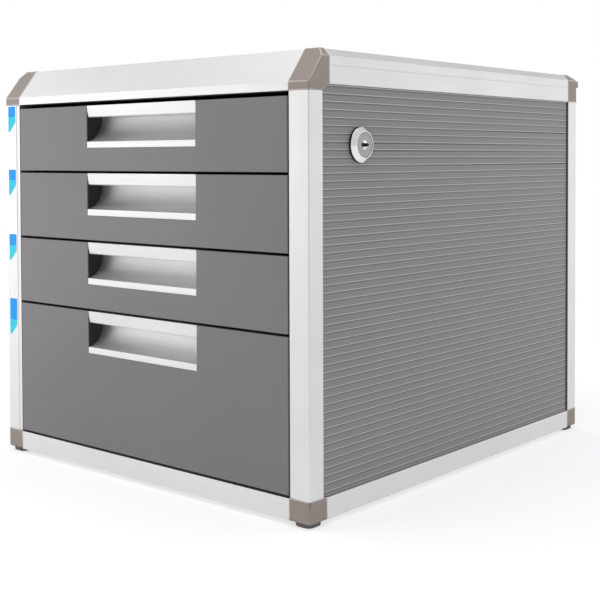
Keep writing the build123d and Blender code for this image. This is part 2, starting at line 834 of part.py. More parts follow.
# Lock plug: the turning face with its keyway, the stem and the square tail
with BuildPart() as lock_plug:
    lock_disc(plug_shoulder, plug_face_radius, plug_shoulder - plug_face)
    lock_disc(stem_end, plug_stem_radius, stem_end - plug_shoulder)
    with BuildSketch(lock_plane(crank_end + tail_overhang)):
        Rectangle(tail_size, tail_size)
    extrude(amount=crank_thickness + tail_overhang)
    with BuildSketch(lock_plane(plug_face)):
        Rectangle(keyway_length, keyway_width)
    extrude(amount=-keyway_depth, mode=Mode.SUBTRACT)
save(lock_plug, "lock_plug")

# Lock crank: sits on the square tail and carries the pin that lifts the bar
with BuildPart() as lock_crank:
    with BuildSketch(lock_plane(crank_end)):
        Circle(crank_hub_radius)
        with Locations((pin_y, pin_z)):
            Circle(crank_eye_radius)
        make_hull()
        Rectangle(tail_size + 2 * tail_fit, tail_size + 2 * tail_fit, mode=Mode.SUBTRACT)
    extrude(amount=crank_thickness)
    with BuildSketch(lock_plane(bar_inner + pin_overhang)):
        with Locations((pin_y, pin_z)):
            Circle(pin_radius)
    extrude(amount=bar_inner + pin_overhang - crank_end)
save(lock_crank, "lock_crank")

# Lock bar: stands inside the right side, with a slot for the pin and a tooth for each drawer
with BuildPart() as lock_bar:
    bar_xs = (side_x("right", bar_outer), side_x("right", bar_inner))
    bar_foot_z = drawer_spans[-1][1] - tooth_drop - bar_foot
    bar_top_z = lock_z + pin_z + pin_radius + slot_play + bar_top_margin
    add_block(bar_xs, (bar_front_y, bar_rear_y), (bar_foot_z, bar_top_z))
    slot_ys = (lock_y + pin_y - pin_radius - slot_end_play,
               lock_y + crank_radius + pin_radius + slot_end_play)
    slot_zs = (lock_z + pin_z - pin_radius - slot_play, lock_z + pin_z + pin_radius + slot_play)
    add_block(bar_xs, slot_ys, slot_zs, Mode.SUBTRACT)
    for bottom, top in drawer_spans:
        tooth_xs = (side_x("right", bar_inner), side_x("right", bar_inner + tooth_reach))
        tooth_z = top - tooth_drop
        add_block(tooth_xs, (bar_rear_y - tooth_thickness, bar_rear_y), (tooth_z, tooth_z + tooth_height))
save(lock_bar, "lock_bar")

# Straps: two bridges on the runner webs that the lock bar slides under
with BuildPart() as lock_bar_straps:
    for index in strap_drawers:
        strap_z = drawer_spans[index][1] - strap_drop
        bridge = bar_inner + strap_face_gap
        strap_xs = [side_x("right", across) for across in (post_width, bridge + strap_wall)]
        strap_ys = (bar_front_y - strap_play - strap_wall, bar_rear_y + strap_play + strap_wall)
        add_block(strap_xs, strap_ys, (strap_z, strap_z + strap_height))
        space_xs = [side_x("right", across) for across in (post_width, bridge)]
        space_ys = (bar_front_y - strap_play, bar_rear_y + strap_play)
        add_block(space_xs, space_ys, (strap_z, strap_z + strap_height), Mode.SUBTRACT)
save(lock_bar_straps, "lock_bar_straps")
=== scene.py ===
import json
import math

import bpy
from mathutils import Matrix, Vector


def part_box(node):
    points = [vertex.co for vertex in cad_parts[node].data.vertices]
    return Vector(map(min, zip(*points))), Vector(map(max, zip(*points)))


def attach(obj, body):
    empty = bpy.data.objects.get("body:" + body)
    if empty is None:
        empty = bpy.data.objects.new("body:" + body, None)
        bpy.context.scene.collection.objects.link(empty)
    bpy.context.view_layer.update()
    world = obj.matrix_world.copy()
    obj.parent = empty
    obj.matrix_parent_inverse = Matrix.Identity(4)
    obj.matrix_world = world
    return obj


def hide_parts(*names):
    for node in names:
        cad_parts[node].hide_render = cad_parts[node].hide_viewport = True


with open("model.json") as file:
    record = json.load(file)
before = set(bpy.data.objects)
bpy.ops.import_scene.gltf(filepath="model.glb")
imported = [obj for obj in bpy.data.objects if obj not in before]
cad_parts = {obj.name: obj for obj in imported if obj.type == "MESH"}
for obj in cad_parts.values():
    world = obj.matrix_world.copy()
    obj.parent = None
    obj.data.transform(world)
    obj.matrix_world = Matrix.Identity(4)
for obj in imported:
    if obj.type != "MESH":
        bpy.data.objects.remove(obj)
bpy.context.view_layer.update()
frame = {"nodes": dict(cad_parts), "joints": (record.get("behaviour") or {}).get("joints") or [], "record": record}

bpy.ops.object.select_all(action="DESELECT")
mm = 0.001

# The cabinet stands on z = 0 with its drawers towards -y and its lock on +x.
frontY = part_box("drawer_1_front")[0].y
drawerNumbers = (1, 2, 3, 4)
sideNames = ("left", "right")
endNames = ("front", "rear")
circleSides = 96

# Materials

noiseSpread = (0.3, 0.7)  # the part of a noise's output that is spread over a look's range
cloudDetail = 3.0
markDetail = 4.0
grainDepth = 0.2  # of the grain's own width


def toLinear(hexColour):  # sRGB hex to the linear colour that shaders take
    parts = [int(hexColour[i:i + 2], 16) / 255 for i in (1, 3, 5)]
    return tuple(c / 12.92 if c <= 0.04045 else ((c + 0.055) / 1.055) ** 2.4 for c in parts) + (1.0,)


def addNode(tree, kind, settings=None, links=None):
    node = tree.nodes.new(kind)
    for name, value in (settings or {}).items():
        if isinstance(name, int) or name in node.inputs:
            node.inputs[name].default_value = value
        else:
            setattr(node, name, value)
    for socket, source in (links or {}).items():
        tree.links.new(source, node.inputs[socket])
    return node


def newMaterial(name):
    material = bpy.data.materials.new(name)
    material.use_nodes = True
    tree = material.node_tree
    tree.nodes.clear()
    return material, tree


def finishMaterial(tree, surface):
    addNode(tree, "ShaderNodeOutputMaterial", links={"Surface": surface})


def objectPoint(tree, scale=(1, 1, 1)):
    place = addNode(tree, "ShaderNodeTexCoord")
    mapping = addNode(tree, "ShaderNodeMapping", {"Scale": scale}, {"Vector": place.outputs["Object"]})
    return mapping.outputs["Vector"]


def noise(tree, point, scale, detail=2.0):
    node = addNode(tree, "ShaderNodeTexNoise", {"Scale": scale, "Detail": detail}, {"Vector": point})
    return node.outputs["Fac"]


def colourRamp(tree, factor, stops):  # stops are (place, hex colour) pairs
    node = addNode(tree, "ShaderNodeValToRGB", links={"Fac": factor})
    ramp = node.color_ramp
    while len(ramp.elements) < len(stops):
        ramp.elements.new(0.5)
    for element, (place, hexColour) in zip(ramp.elements, stops):
        element.position = place
        element.color = toLinear(hexColour)
    return node.outputs["Color"]


def twoTones(tree, factor, look):  # blends faintly between a look's dark and light colours
    low, high = noiseSpread
    return colourRamp(tree, factor, ((low, look["dark"]), (high, look["light"])))


def rangeOf(tree, value, low, high, fromLow=0.0, fromHigh=1.0):
    node = addNode(tree, "ShaderNodeMapRange", {"From Min": fromLow, "From Max": fromHigh,
                                                "To Min": low, "To Max": high}, {"Value": value})
    return node.outputs["Result"]


def bumpOf(tree, height, strength, distance):
    node = addNode(tree, "ShaderNodeBump", {"Strength": strength, "Distance": distance},
                   {"Height": height})
    return node.outputs["Normal"]


aluminium = {
    "dark": "#d6d6d6",
    "light": "#dddddd",
    "roughness": (0.44, 0.54),
    "drawLine": 0.5,  # mm between the drawing lines left by the die
    "lineLength": 70.0,  # mm
    "bump": 0.015,
    "bumpDepth": 0.05,  # mm
    "cloudScale": 14.0,
}


def anodisedAluminium(name, alongAxis, look):
    # Extruded and satin anodised: a soft white sheen with faint lines along the extrusion
    material, tree = newMaterial(name)
    fine = 1 / (look["drawLine"] * mm)
    long = 1 / (look["lineLength"] * mm)
    point = objectPoint(tree, tuple(long if axis == alongAxis else fine for axis in "XYZ"))
    lines = noise(tree, point, 1.0)
    clouds = noise(tree, objectPoint(tree), look["cloudScale"], cloudDetail)
    colour = twoTones(tree, clouds, look)
    shader = addNode(tree, "ShaderNodeBsdfPrincipled", {"Metallic": 1.0},
                     {"Base Color": colour,
                      "Normal": bumpOf(tree, lines, look["bump"], look["bumpDepth"] * mm),
                      "Roughness": rangeOf(tree, lines, *look["roughness"], *noiseSpread)})
    finishMaterial(tree, shader.outputs["BSDF"])
    return material


def mouldedPlastic(name, look):
    # Moulded in a spark-eroded tool: an even fine grain that breaks up the gloss
    material, tree = newMaterial(name)
    point = objectPoint(tree)
    grain = noise(tree, point, 1 / (look["grain"] * mm))
    clouds = noise(tree, point, look["cloudScale"], cloudDetail)
    colour = twoTones(tree, clouds, look)
    shader = addNode(tree, "ShaderNodeBsdfPrincipled", {"IOR": look["ior"]},
                     {"Base Color": colour,
                      "Normal": bumpOf(tree, grain, look["bump"], look["grain"] * grainDepth * mm),
                      "Roughness": rangeOf(tree, grain, *look["roughness"], *noiseSpread)})
    finishMaterial(tree, shader.outputs["BSDF"])
    return material


plastics = {  # grain in mm
    # Corner caps: taupe ABS with a matte grain; their rounded edges take a paler colour, a painted highlight
    "capAbs": {"dark": "#80756e", "light": "#8a7f79", "grain": 0.35, "cloudScale": 30.0, "bump": 0.2,
               "roughness": (0.40, 0.52), "ior": 1.53},
    "capEdgeAbs": {"dark": "#aaa29c", "light": "#b2aaa5", "grain": 0.35, "cloudScale": 30.0, "bump": 0.05,
                   "roughness": (0.28, 0.36), "ior": 1.53},
    # Drawer fronts: dark grey ABS, smoother, so that they show a soft sheen
    "frontAbs": {"dark": "#676467", "light": "#6b686b", "grain": 0.3, "cloudScale": 9.0, "bump": 0.06,
                 "roughness": (0.34, 0.40), "ior": 1.53},
    # Drawer boxes: moulded grey polystyrene
    "boxPolystyrene": {"dark": "#6f6e71", "light": "#757477", "grain": 0.4, "cloudScale": 7.0, "bump": 0.1,
                       "roughness": (0.38, 0.5), "ior": 1.58},
    # Runners and glides: waxy pale acetal
    "glideAcetal": {"dark": "#c9c8c4", "light": "#d2d1cd", "grain": 0.5, "cloudScale": 12.0, "bump": 0.08,
                    "roughness": (0.35, 0.5), "ior": 1.48},
    # Near-black ABS: the handle recess's end plates, partly black plastic end caps and partly painted shade deep
    # in the recess; the lock rings and sheet ends, painted shadow lines
    "plateAbs": {"dark": "#121112", "light": "#1a191a", "grain": 0.35, "cloudScale": 30.0, "bump": 0.15,
                 "roughness": (0.45, 0.6), "ior": 1.53},
    # Feet: moulded rubber, dark and dull
    "footRubber": {"dark": "#575351", "light": "#605b59", "grain": 0.5, "cloudScale": 40.0, "bump": 0.3,
                   "roughness": (0.7, 0.85), "ior": 1.52},
    # Tabs on the left post: printed vinyl film, blue above and teal below
    "blueVinyl": {"dark": "#008ee4", "light": "#0898ec", "grain": 0.3, "cloudScale": 60.0, "bump": 0.05,
                  "roughness": (0.45, 0.55), "ior": 1.3},
    "tealVinyl": {"dark": "#24bcd8", "light": "#34c6e0", "grain": 0.3, "cloudScale": 60.0, "bump": 0.05,
                  "roughness": (0.45, 0.55), "ior": 1.3},
}

sheet = {
    "pitch": 4.86,  # mm from one groove to the next
    "grooveDepths": (0.05, 0.7),  # mm below the face, where the CAD's groove bottoms are found
    "grooveShare": 0.15,  # how much of each groove's depth is left
    "firstGroove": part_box("side_panel_right")[1].z / mm - 5.2,  # mm, the groove nearest the top rail
    "beads": 3,  # between two grooves
    "beadHeight": 2.0,
    "grainHeight": 0.05,
    "bump": 0.12,
    "bumpDepth": 0.3,  # mm
    "roughness": (0.36, 0.46),
    "grain": 0.4,  # mm
    "ior": 1.53,
    # The colour over one pitch, as shares of it: painted shade in the groove, a painted highlight on the bead
    # beside it and two weaker painted highlights on the other beads
    "stops": ((0.00, "#5e5c5e"), (0.07, "#5e5c5e"), (0.11, "#a2a0a2"), (0.18, "#a2a0a2"),
              (0.24, "#706e70"), (0.38, "#737173"), (0.42, "#848284"), (0.49, "#737173"),
              (0.66, "#706e70"), (0.71, "#858385"), (0.78, "#737173"), (0.92, "#6a686a"),
              (1.00, "#5e5c5e")),
}


def ribbedSheet(name, axis):
    # Extruded grey PVC with fine beads between its grooves; its colour holds painted shade in each groove and a
    # painted highlight on each bead's crest
    material, tree = newMaterial(name)
    point = objectPoint(tree)
    parts = addNode(tree, "ShaderNodeSeparateXYZ", links={"Vector": point})
    fromGroove = addNode(tree, "ShaderNodeMath", {"operation": "SUBTRACT", 1: sheet["firstGroove"] * mm},
                         {0: parts.outputs[axis]})
    pitches = addNode(tree, "ShaderNodeMath", {"operation": "DIVIDE", 1: sheet["pitch"] * mm},
                      {0: fromGroove.outputs["Value"]})
    share = addNode(tree, "ShaderNodeMath", {"operation": "FRACT"}, {0: pitches.outputs["Value"]})
    # painted shade in the grooves and painted highlights on the beads, repeated every pitch
    colour = colourRamp(tree, share.outputs["Value"], sheet["stops"])
    grain = noise(tree, point, 1 / (sheet["grain"] * mm))
    beads = addNode(tree, "ShaderNodeMath", {"operation": "PINGPONG", 1: 1 / (2 * sheet["beads"])},
                    {0: share.outputs["Value"]})
    height = addNode(tree, "ShaderNodeMath", {"operation": "MULTIPLY_ADD", 1: sheet["beadHeight"]},
                     {0: beads.outputs["Value"], 2: rangeOf(tree, grain, 0.0, sheet["grainHeight"])})
    normal = bumpOf(tree, height.outputs["Value"], sheet["bump"], sheet["bumpDepth"] * mm)
    shader = addNode(tree, "ShaderNodeBsdfPrincipled", {"IOR": sheet["ior"]},
                     {"Base Color": colour, "Normal": normal,
                      "Roughness": rangeOf(tree, grain, *sheet["roughness"], *noiseSpread)})
    finishMaterial(tree, shader.outputs["BSDF"])
    return material


def platedMetal(name, look):
    # Polished or plated metal: clear reflections with faint polishing marks
    material, tree = newMaterial(name)
    marks = noise(tree, objectPoint(tree), 1 / (look["mark"] * mm), markDetail)
    colour = twoTones(tree, marks, look)
    shader = addNode(tree, "ShaderNodeBsdfPrincipled", {"Metallic": 1.0},
                     {"Base Color": colour,
                      "Roughness": rangeOf(tree, marks, *look["roughness"], *noiseSpread)})
    finishMaterial(tree, shader.outputs["BSDF"])
    return material


metals = {  # mark in mm
    # Lock head: nickel and chrome plated zinc, bright with crisp reflections
    "lockChrome": {"dark": "#e2e2e3", "light": "#ebebec", "mark": 2.0, "roughness": (0.10, 0.18)},
    # Plug face: the same plating over a finely turned face, so it looks greyer
    "plugChrome": {"dark": "#8e8e90", "light": "#9a9a9c", "mark": 0.8, "roughness": (0.28, 0.38)},
    # Hollow round the keyway: chrome with its base colour raised near white, a painted highlight
    "hollowChrome": {"dark": "#f4f4f4", "light": "#fafafa", "mark": 1.0, "roughness": (0.2, 0.3)},
    # Inner steel: zinc plated, slightly clouded
    "zincSteel": {"dark": "#9da0a3", "light": "#b2b5b8", "mark": 3.0, "roughness": (0.32, 0.48)},
}

materials = {"alongX": anodisedAluminium("anodisedAluminiumAcross", "X", aluminium),
             "alongY": anodisedAluminium("anodisedAluminiumDeep", "Y", aluminium),
             "alongZ": anodisedAluminium("anodisedAluminiumUpright", "Z", aluminium),
             "sideSheet": ribbedSheet("ribbedPvcUpright", "Z"),
             "topSheet": ribbedSheet("ribbedPvcAcross", "X")}
for name, look in plastics.items():
    materials[name] = mouldedPlastic(name, look)
for name, look in metals.items():
    materials[name] = platedMetal(name, look)
print("materials:", len(materials))


def finishFor(nodeName):
    if nodeName.startswith("post_"):
        return "alongZ"
    if nodeName.endswith(("rail_left", "rail_right")):
        return "alongY"
    if "rail_" in nodeName or nodeName.endswith("handle"):
        return "alongX"
    if "_cap_" in nodeName:
        return "capAbs"
    if nodeName.startswith("side_panel"):
        return "sideSheet"
    if nodeName == "top_panel":
        return "topSheet"
    if nodeName.endswith("_front"):
        return "frontAbs"
    if nodeName.endswith(("_box", "_panel")):
        return "boxPolystyrene"
    if nodeName.startswith("runners") or nodeName.endswith("glides"):
        return "glideAcetal"
    if nodeName == "rubber_feet":
        return "footRubber"
    if nodeName == "lock_housing":
        return "lockChrome"
    if nodeName == "lock_plug":
        return "plugChrome"
    return "zincSteel"


for nodeName, nodeObject in frame["nodes"].items():
    finish = materials[finishFor(nodeName)]
    if not nodeObject.material_slots:
        nodeObject.data.materials.append(finish)
    for materialSlot in nodeObject.material_slots:
        materialSlot.material = finish
print("nodes finished:", len(frame["nodes"]))


# Pieces

bodyOf = {node: body for body, nodes in frame["record"]["behaviour"]["bodies"].items() for node in nodes}
mergeDistance = 0.002 * mm
flatAngle = math.radians(0.5)  # faces that turn less than this are joined
sharpAngle = math.radians(28)  # edges that turn more than this are rounded


def pickOnly(piece):
    bpy.ops.object.select_all(action="DESELECT")
    piece.select_set(True)
    bpy.context.view_layer.objects.active = piece


def selectWhere(piece, kind, wanted):  # picks the faces, edges or vertices whose middle passes the test
    bpy.ops.object.mode_set(mode="EDIT")
    bpy.ops.mesh.select_mode(type={"polygons": "FACE", "edges": "EDGE", "vertices": "VERT"}[kind])
    bpy.ops.mesh.select_all(action="DESELECT")
    bpy.ops.object.mode_set(mode="OBJECT")
    points = piece.data.vertices
    for item in getattr(piece.data, kind):
        if kind == "edges":
            middle = (points[item.vertices[0]].co + points[item.vertices[1]].co) / 2
        else:
            middle = item.center if kind == "polygons" else item.co
        item.select = bool(wanted(middle, item))
    bpy.ops.object.mode_set(mode="EDIT")


def cleanCopy(nodeName):  # a copy of a node's mesh with its triangles joined into whole faces
    source = frame["nodes"][nodeName]
    piece = bpy.data.objects.new(f"{nodeName}_finished", source.data.copy())
    bpy.context.collection.objects.link(piece)
    pickOnly(piece)
    bpy.ops.object.mode_set(mode="EDIT")
    bpy.ops.mesh.select_all(action="SELECT")
    bpy.ops.mesh.remove_doubles(threshold=mergeDistance)
    bpy.ops.mesh.dissolve_limited(angle_limit=flatAngle)
    bpy.ops.object.mode_set(mode="OBJECT")
    return piece


def weighEdges(piece, shortest):  # gives the bevel the sharp edges that are long enough to take it
    mesh = piece.data
    weights = mesh.attributes.new("bevel_weight_edge", "FLOAT", "EDGE")
    faces = {}
    for polygon in mesh.polygons:
        for key in polygon.edge_keys:
            faces.setdefault(key, []).append(polygon.normal)
    for edge in mesh.edges:
        normals = faces.get(edge.key, [])
        start, end = (mesh.vertices[index].co for index in edge.vertices)
        sharp = len(normals) == 2 and normals[0].dot(normals[1]) < math.cos(sharpAngle)
        weights.data[edge.index].value = float(sharp and (end - start).length > shortest * mm)


def roundEdges(piece, width, segments=2, shortest=None, edgeMaterial=None):
    pickOnly(piece)
    bpy.ops.object.shade_smooth()
    bevel = piece.modifiers.new("edgeRound", "BEVEL")
    bevel.width = width * mm
    bevel.segments = segments
    bevel.use_clamp_overlap = False
    if shortest:
        weighEdges(piece, shortest)
        bevel.limit_method = "WEIGHT"
    else:
        bevel.limit_method = "ANGLE"
        bevel.angle_limit = sharpAngle
    if edgeMaterial:  # the second slot, for the rounded edges alone
        piece.data.materials.append(edgeMaterial)
        bevel.material = 1
    weighted = piece.modifiers.new("flatFaces", "WEIGHTED_NORMAL")
    weighted.keep_sharp = True
    for modifierName in ("edgeRound", "flatFaces"):
        bpy.ops.object.modifier_apply(modifier=modifierName)


def thicken(shift):  # turns the flat piece that is being edited into a closed solid
    bpy.ops.mesh.select_all(action="SELECT")
    bpy.ops.mesh.extrude_region_move(TRANSFORM_OT_translate={"value": shift})
    bpy.ops.mesh.select_all(action="SELECT")
    bpy.ops.mesh.normals_make_consistent(inside=False)
    bpy.ops.object.mode_set(mode="OBJECT")


def addDisc(name, radius, middle):  # a flat disc that faces along x
    bpy.ops.mesh.primitive_circle_add(vertices=circleSides, radius=radius, fill_type="NGON",
                                      location=middle, rotation=(0, math.pi / 2, 0))
    piece = bpy.context.active_object
    piece.name = name
    bpy.ops.object.transform_apply(location=True, rotation=True, scale=True)
    bpy.ops.object.mode_set(mode="EDIT")
    bpy.ops.mesh.select_all(action="SELECT")
    return piece


def standFor(piece, nodeName):
    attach(piece, bodyOf[nodeName])
    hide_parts(nodeName)


edgeRounds = {  # mm
    "post": 0.25,
    "rail": 0.3,
    "topCap": 0.55,
    "bottomCap": 0.5,
    "box": 0.4,
    "front": 0.25,
    "handle": 0.25,
    "foot": 0.5,
}
shortestCapEdge = 2.0  # mm
capSegments = 3


def buildFrameParts():
    for end in endNames:
        for side in sideNames:
            for stem, width in (("post", "post"), ("top_cap", "topCap"), ("bottom_cap", "bottomCap")):
                nodeName = f"{stem}_{end}_{side}"
                piece = cleanCopy(nodeName)
                if "Cap" in width:
                    # the caps' rounded edges take the paler colour, a painted highlight along each edge
                    roundEdges(piece, edgeRounds[width], capSegments, shortestCapEdge,
                               materials["capEdgeAbs"])
                else:
                    roundEdges(piece, edgeRounds[width])
                standFor(piece, nodeName)
    for level in ("bottom", "top"):
        for run in endNames + sideNames:
            nodeName = f"{level}_rail_{run}"
            piece = cleanCopy(nodeName)
            roundEdges(piece, edgeRounds["rail"])
            standFor(piece, nodeName)
    feet = cleanCopy("rubber_feet")
    roundEdges(feet, edgeRounds["foot"])
    standFor(feet, "rubber_feet")
    print("frame parts: 21")


def buildSideSheets():  # the grooves are nearly filled, so that the beads show as pale lines
    shallow, deep = (depth * mm for depth in sheet["grooveDepths"])
    for side in sideNames:
        nodeName = f"side_panel_{side}"
        low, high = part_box(nodeName)
        face = high.x if side == "right" else low.x
        piece = cleanCopy(nodeName)
        selectWhere(piece, "vertices", lambda middle, item: shallow < abs(face - middle.x) < deep)
        bpy.ops.transform.resize(value=(sheet["grooveShare"], 1, 1), center_override=(face, 0, 0))
        bpy.ops.object.mode_set(mode="OBJECT")
        standFor(piece, nodeName)
    print("side sheets: 2")


handle = {  # mm, as the extrusion is drawn
    "lipHeight": 8.4,
    "lipReach": 2.2,  # how far behind the front the lip's lower edge is found
    "lipNear": 1.2,  # and how near its level
    "lipSwing": 0.9,  # how far the lip's lower edge leans in
    "stripHeight": 4.2,
    "scoopRadius": 16.0,
    "scoopLead": 2.7,
    "wall": 1.6,
    "plate": 0.35,
    "plateInset": 0.05,
    "plateSetback": 0.6,  # behind the front
    "tolerance": 0.01,  # how near an edge lies to the level that it is picked by
}


def buildHandle(number):
    nodeName = f"drawer_{number}_handle"
    piece = cleanCopy(nodeName)
    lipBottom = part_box(nodeName)[1].z - handle["lipHeight"] * mm
    selectWhere(piece, "vertices", lambda middle, item: middle.y < frontY + handle["lipReach"] * mm
                and abs(middle.z - lipBottom) < handle["lipNear"] * mm)
    bpy.ops.transform.translate(value=(0, handle["lipSwing"] * mm, 0))
    bpy.ops.object.mode_set(mode="OBJECT")
    roundEdges(piece, edgeRounds["handle"])
    standFor(piece, nodeName)


def buildRecessPlate(number, side):  # closes one end of the finger recess behind the handle's lip
    low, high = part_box(f"drawer_{number}_handle")
    centreY = frontY - handle["scoopLead"] * mm
    centreZ = low.z + (handle["stripHeight"] + handle["scoopRadius"]) * mm
    inward = 1 if side == "left" else -1
    startX = (low.x if side == "left" else high.x) + inward * handle["plateInset"] * mm
    piece = addDisc(f"drawer_{number}_recess_plate_{side}", handle["scoopRadius"] * mm,
                    (startX, centreY, centreZ))
    bpy.ops.mesh.bisect(plane_co=(0, frontY + handle["plateSetback"] * mm, 0), plane_no=(0, -1, 0),
                        clear_outer=True)
    bpy.ops.mesh.select_all(action="SELECT")
    bpy.ops.mesh.bisect(plane_co=(0, 0, centreZ), plane_no=(0, 0, 1), clear_outer=True)
    top = high.z - handle["wall"] * mm
    selectWhere(piece, "edges", lambda middle, item: abs(middle.z - centreZ) < handle["tolerance"] * mm)
    bpy.ops.mesh.extrude_region_move(TRANSFORM_OT_translate={"value": (0, 0, top - centreZ)})
    thicken((inward * handle["plate"] * mm, 0, 0))
    # near black: partly a black plastic end cap, partly painted shade deep in the recess
    piece.data.materials.append(materials["plateAbs"])
    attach(piece, f"drawer_{number}")


def buildDrawers():
    for number in drawerNumbers:
        for stem in ("front", "box"):
            nodeName = f"drawer_{number}_{stem}"
            piece = cleanCopy(nodeName)
            roundEdges(piece, edgeRounds[stem])
            standFor(piece, nodeName)
        buildHandle(number)
        for side in sideNames:
            buildRecessPlate(number, side)
    print("drawers:", len(drawerNumbers))


lock = {  # mm
    "centre": Vector(next(joint for joint in frame["joints"] if joint["name"] == "lock_turn")["pos_m"]),
    "hollowRadius": 2.8,
    "hollowBottom": 0.4,
    "hollowDepth": 1.3,
    "hollowSides": 48,
    "hollowSlope": (0.2, 0.98),  # the x of its faces' normals
    "pinRadius": 0.5,
    "pinPlace": 4.1,
    "pinDepth": 0.8,
    "pinSides": 24,
    "overrun": 0.001,  # how far the cutter of the hollow stands out of the face
    "edge": 0.18,
}
rings = {  # radii and depth in mm
    # a thin black ring round the lock's rim, a painted shadow line where the rim stands off the sheet
    "lock_collar": {"inner": 11.3, "outer": 11.42, "depth": 1.5},
    # a thin black ring sunk in the plug's face, a painted shadow in the gap round the plug
    "plug_seal": {"inner": 7.75, "outer": 8.03, "depth": 0.05, "sunk": 0.02},
}


def buildRing(name, startX, body):
    ring = rings[name]
    piece = addDisc(name, ring["outer"] * mm, (startX, lock["centre"].y, lock["centre"].z))
    bpy.ops.mesh.select_mode(type="FACE")
    bpy.ops.mesh.select_all(action="SELECT")
    bpy.ops.mesh.inset(thickness=(ring["outer"] - ring["inner"]) * mm)
    bpy.ops.mesh.delete(type="FACE")
    thicken((ring["depth"] * mm, 0, 0))
    piece.data.materials.append(materials["plateAbs"])
    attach(piece, body)


def cutAway(piece, cutter):
    pickOnly(piece)
    boolean = piece.modifiers.new("cut", "BOOLEAN")
    boolean.operation = "DIFFERENCE"
    boolean.solver = "EXACT"
    boolean.object = cutter
    bpy.ops.object.modifier_apply(modifier="cut")
    bpy.data.objects.remove(cutter)


def buildLock():
    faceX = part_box("lock_plug")[1].x
    plug = cleanCopy("lock_plug")
    centreY, centreZ = lock["centre"].y, lock["centre"].z
    radius, depth = lock["hollowRadius"] * mm, lock["hollowDepth"] * mm
    middleX = faceX - depth / 2 + lock["overrun"] * mm
    bpy.ops.mesh.primitive_cone_add(vertices=lock["hollowSides"], radius1=lock["hollowBottom"] * mm,
                                    radius2=radius, depth=depth, location=(middleX, centreY, centreZ),
                                    rotation=(0, math.pi / 2, 0))
    cutAway(plug, bpy.context.active_object)
    bpy.ops.mesh.primitive_cylinder_add(vertices=lock["pinSides"], radius=lock["pinRadius"] * mm,
                                        depth=2 * lock["pinDepth"] * mm,
                                        location=(faceX, centreY + lock["pinPlace"] * mm, centreZ),
                                        rotation=(0, math.pi / 2, 0))
    cutAway(plug, bpy.context.active_object)
    # the hollow's sloped faces take the near-white chrome, a painted highlight
    plug.data.materials.append(materials["hollowChrome"])
    steep, flat = lock["hollowSlope"]
    selectWhere(plug, "polygons", lambda middle, item: middle.x > faceX - depth
                and steep < item.normal.x < flat and (middle - lock["centre"]).yz.length < radius)
    plug.active_material_index = 1
    bpy.ops.object.material_slot_assign()
    bpy.ops.object.mode_set(mode="OBJECT")
    roundEdges(plug, lock["edge"])
    standFor(plug, "lock_plug")
    housing = cleanCopy("lock_housing")
    roundEdges(housing, lock["edge"])
    standFor(housing, "lock_housing")
    # painted shadow line round the lock's rim
    buildRing("lock_collar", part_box("side_panel_right")[1].x, "frame")
    # painted shadow in the gap round the plug's face
    buildRing("plug_seal", faceX - rings["plug_seal"]["sunk"] * mm, "lock_plug")
    print("lock head: 4")


sheetEndShadow = {"thick": 1.2, "wide": 1.6, "tall": 251.0, "middle": 142.2}  # mm


def buildSheetEndShadows():  # a black strip in each gap where the ribs of the side sheets end short of the rear posts, a painted shadow line
    for side in sideNames:
        low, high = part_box(f"side_panel_{side}")
        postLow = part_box(f"post_rear_{side}")[0]
        faceX = high.x if side == "right" else low.x
        # a black strip, a painted shadow line in the gap
        bpy.ops.mesh.primitive_cube_add(size=1.0)
        piece = bpy.context.active_object
        piece.name = f"sheet_end_{side}"
        piece.scale = (sheetEndShadow["thick"] * mm, sheetEndShadow["wide"] * mm, sheetEndShadow["tall"] * mm)
        piece.location = (faceX, postLow.y - sheetEndShadow["wide"] / 2 * mm, sheetEndShadow["middle"] * mm)
        bpy.ops.object.transform_apply(location=True, rotation=True, scale=True)
        piece.data.materials.append(materials["plateAbs"])
        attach(piece, "frame")
    print("sheet ends: 2")


tabs = {  # mm
    "start": 2.4,  # from the left post's outer edge
    "width": 8.6,
    "blue": {1: 8.0, 2: 8.0, 3: 8.5, 4: 16.0},  # heights by drawer
    "teal": 11.5,  # height
    "lift": 2.2,  # above each drawer's top
    "film": 0.12,
    "corner": 0.8,
    "cornerSegments": 4,
    "slantStart": 0.35,  # share of the teal part's height
    "slant": (0.72, 0, -0.69),
}


def buildTab(number, part, high, tall):
    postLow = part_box("post_front_left")[0]
    width = tabs["width"] * mm
    middle = (postLow.x + tabs["start"] * mm + width / 2, frontY, high - tall / 2)
    bpy.ops.mesh.primitive_plane_add(size=1.0, location=middle, rotation=(math.pi / 2, 0, 0))
    piece = bpy.context.active_object
    piece.name = f"post_tab_{number}_{part}"
    piece.scale = (width, tall, 1.0)
    bpy.ops.object.transform_apply(location=True, rotation=True, scale=True)
    if part == "teal":  # its lower right corner is cut off on a slant
        bpy.ops.object.mode_set(mode="EDIT")
        bpy.ops.mesh.select_all(action="SELECT")
        bpy.ops.mesh.bisect(plane_co=(middle[0] + width / 2, frontY, high - tabs["slantStart"] * tall),
                            plane_no=tabs["slant"], clear_outer=True)
        bpy.ops.object.mode_set(mode="OBJECT")
    roundedAbove = part == "blue"
    selectWhere(piece, "vertices", lambda place, item: (place.z > middle[2]) == roundedAbove)
    bpy.ops.mesh.bevel(offset=tabs["corner"] * mm, segments=tabs["cornerSegments"], affect="VERTICES")
    thicken((0, -tabs["film"] * mm, 0))
    piece.data.materials.append(materials[f"{part}Vinyl"])
    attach(piece, "frame")


def buildTabs():
    for number in drawerNumbers:
        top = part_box(f"drawer_{number}_front")[1].z + tabs["lift"] * mm
        blue = tabs["blue"][number] * mm
        buildTab(number, "blue", top, blue)
        buildTab(number, "teal", top - blue, tabs["teal"] * mm)
    print("tabs:", 2 * len(drawerNumbers))


